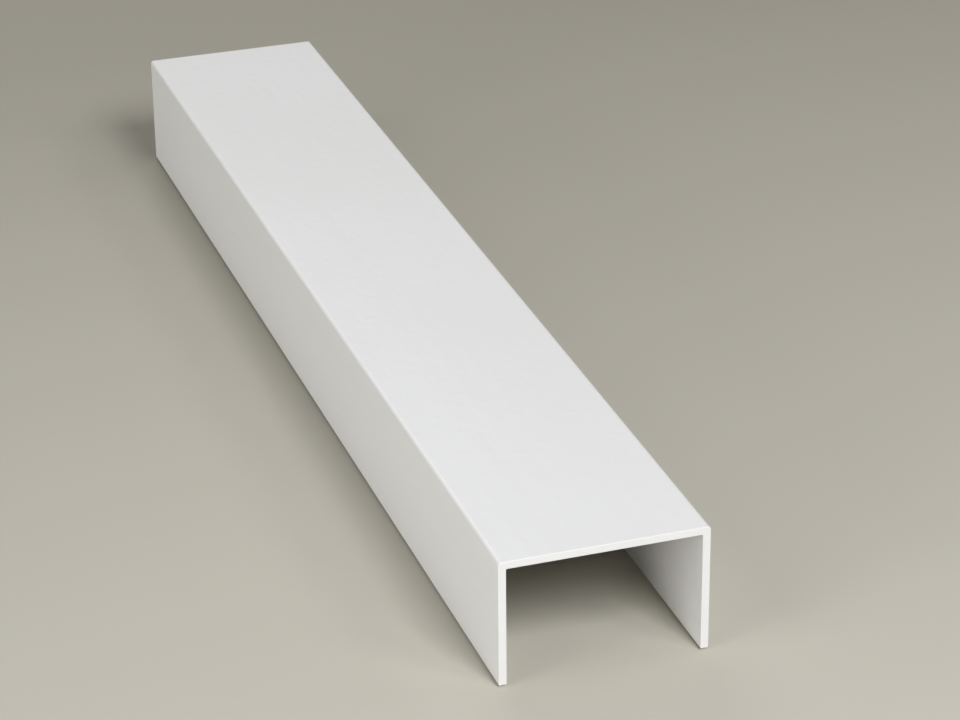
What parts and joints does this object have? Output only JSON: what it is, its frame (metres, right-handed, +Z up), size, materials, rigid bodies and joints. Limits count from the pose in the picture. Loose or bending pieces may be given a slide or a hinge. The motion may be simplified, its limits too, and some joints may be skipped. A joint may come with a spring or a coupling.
{
  "type": "aluminium u-channel",
  "caption": "Straight aluminium U-channel with equal flanges and a thin even wall, coated satin white all over, used to edge, hold or cover boards, panels and cables.",
  "frame": {"origin": "on the floor under the middle of the web, at the bottom centre of the bounding box", "axes": "+X across the section, +Y along the length, +Z up from the flange toes to the web"},
  "size_m": [0.04, 0.26, 0.025],
  "materials": {
    "white_powder_coat": "satin"
  },
  "bodies": {
    "root": {"u_channel": "white_powder_coat"}
  },
  "joints": []
}
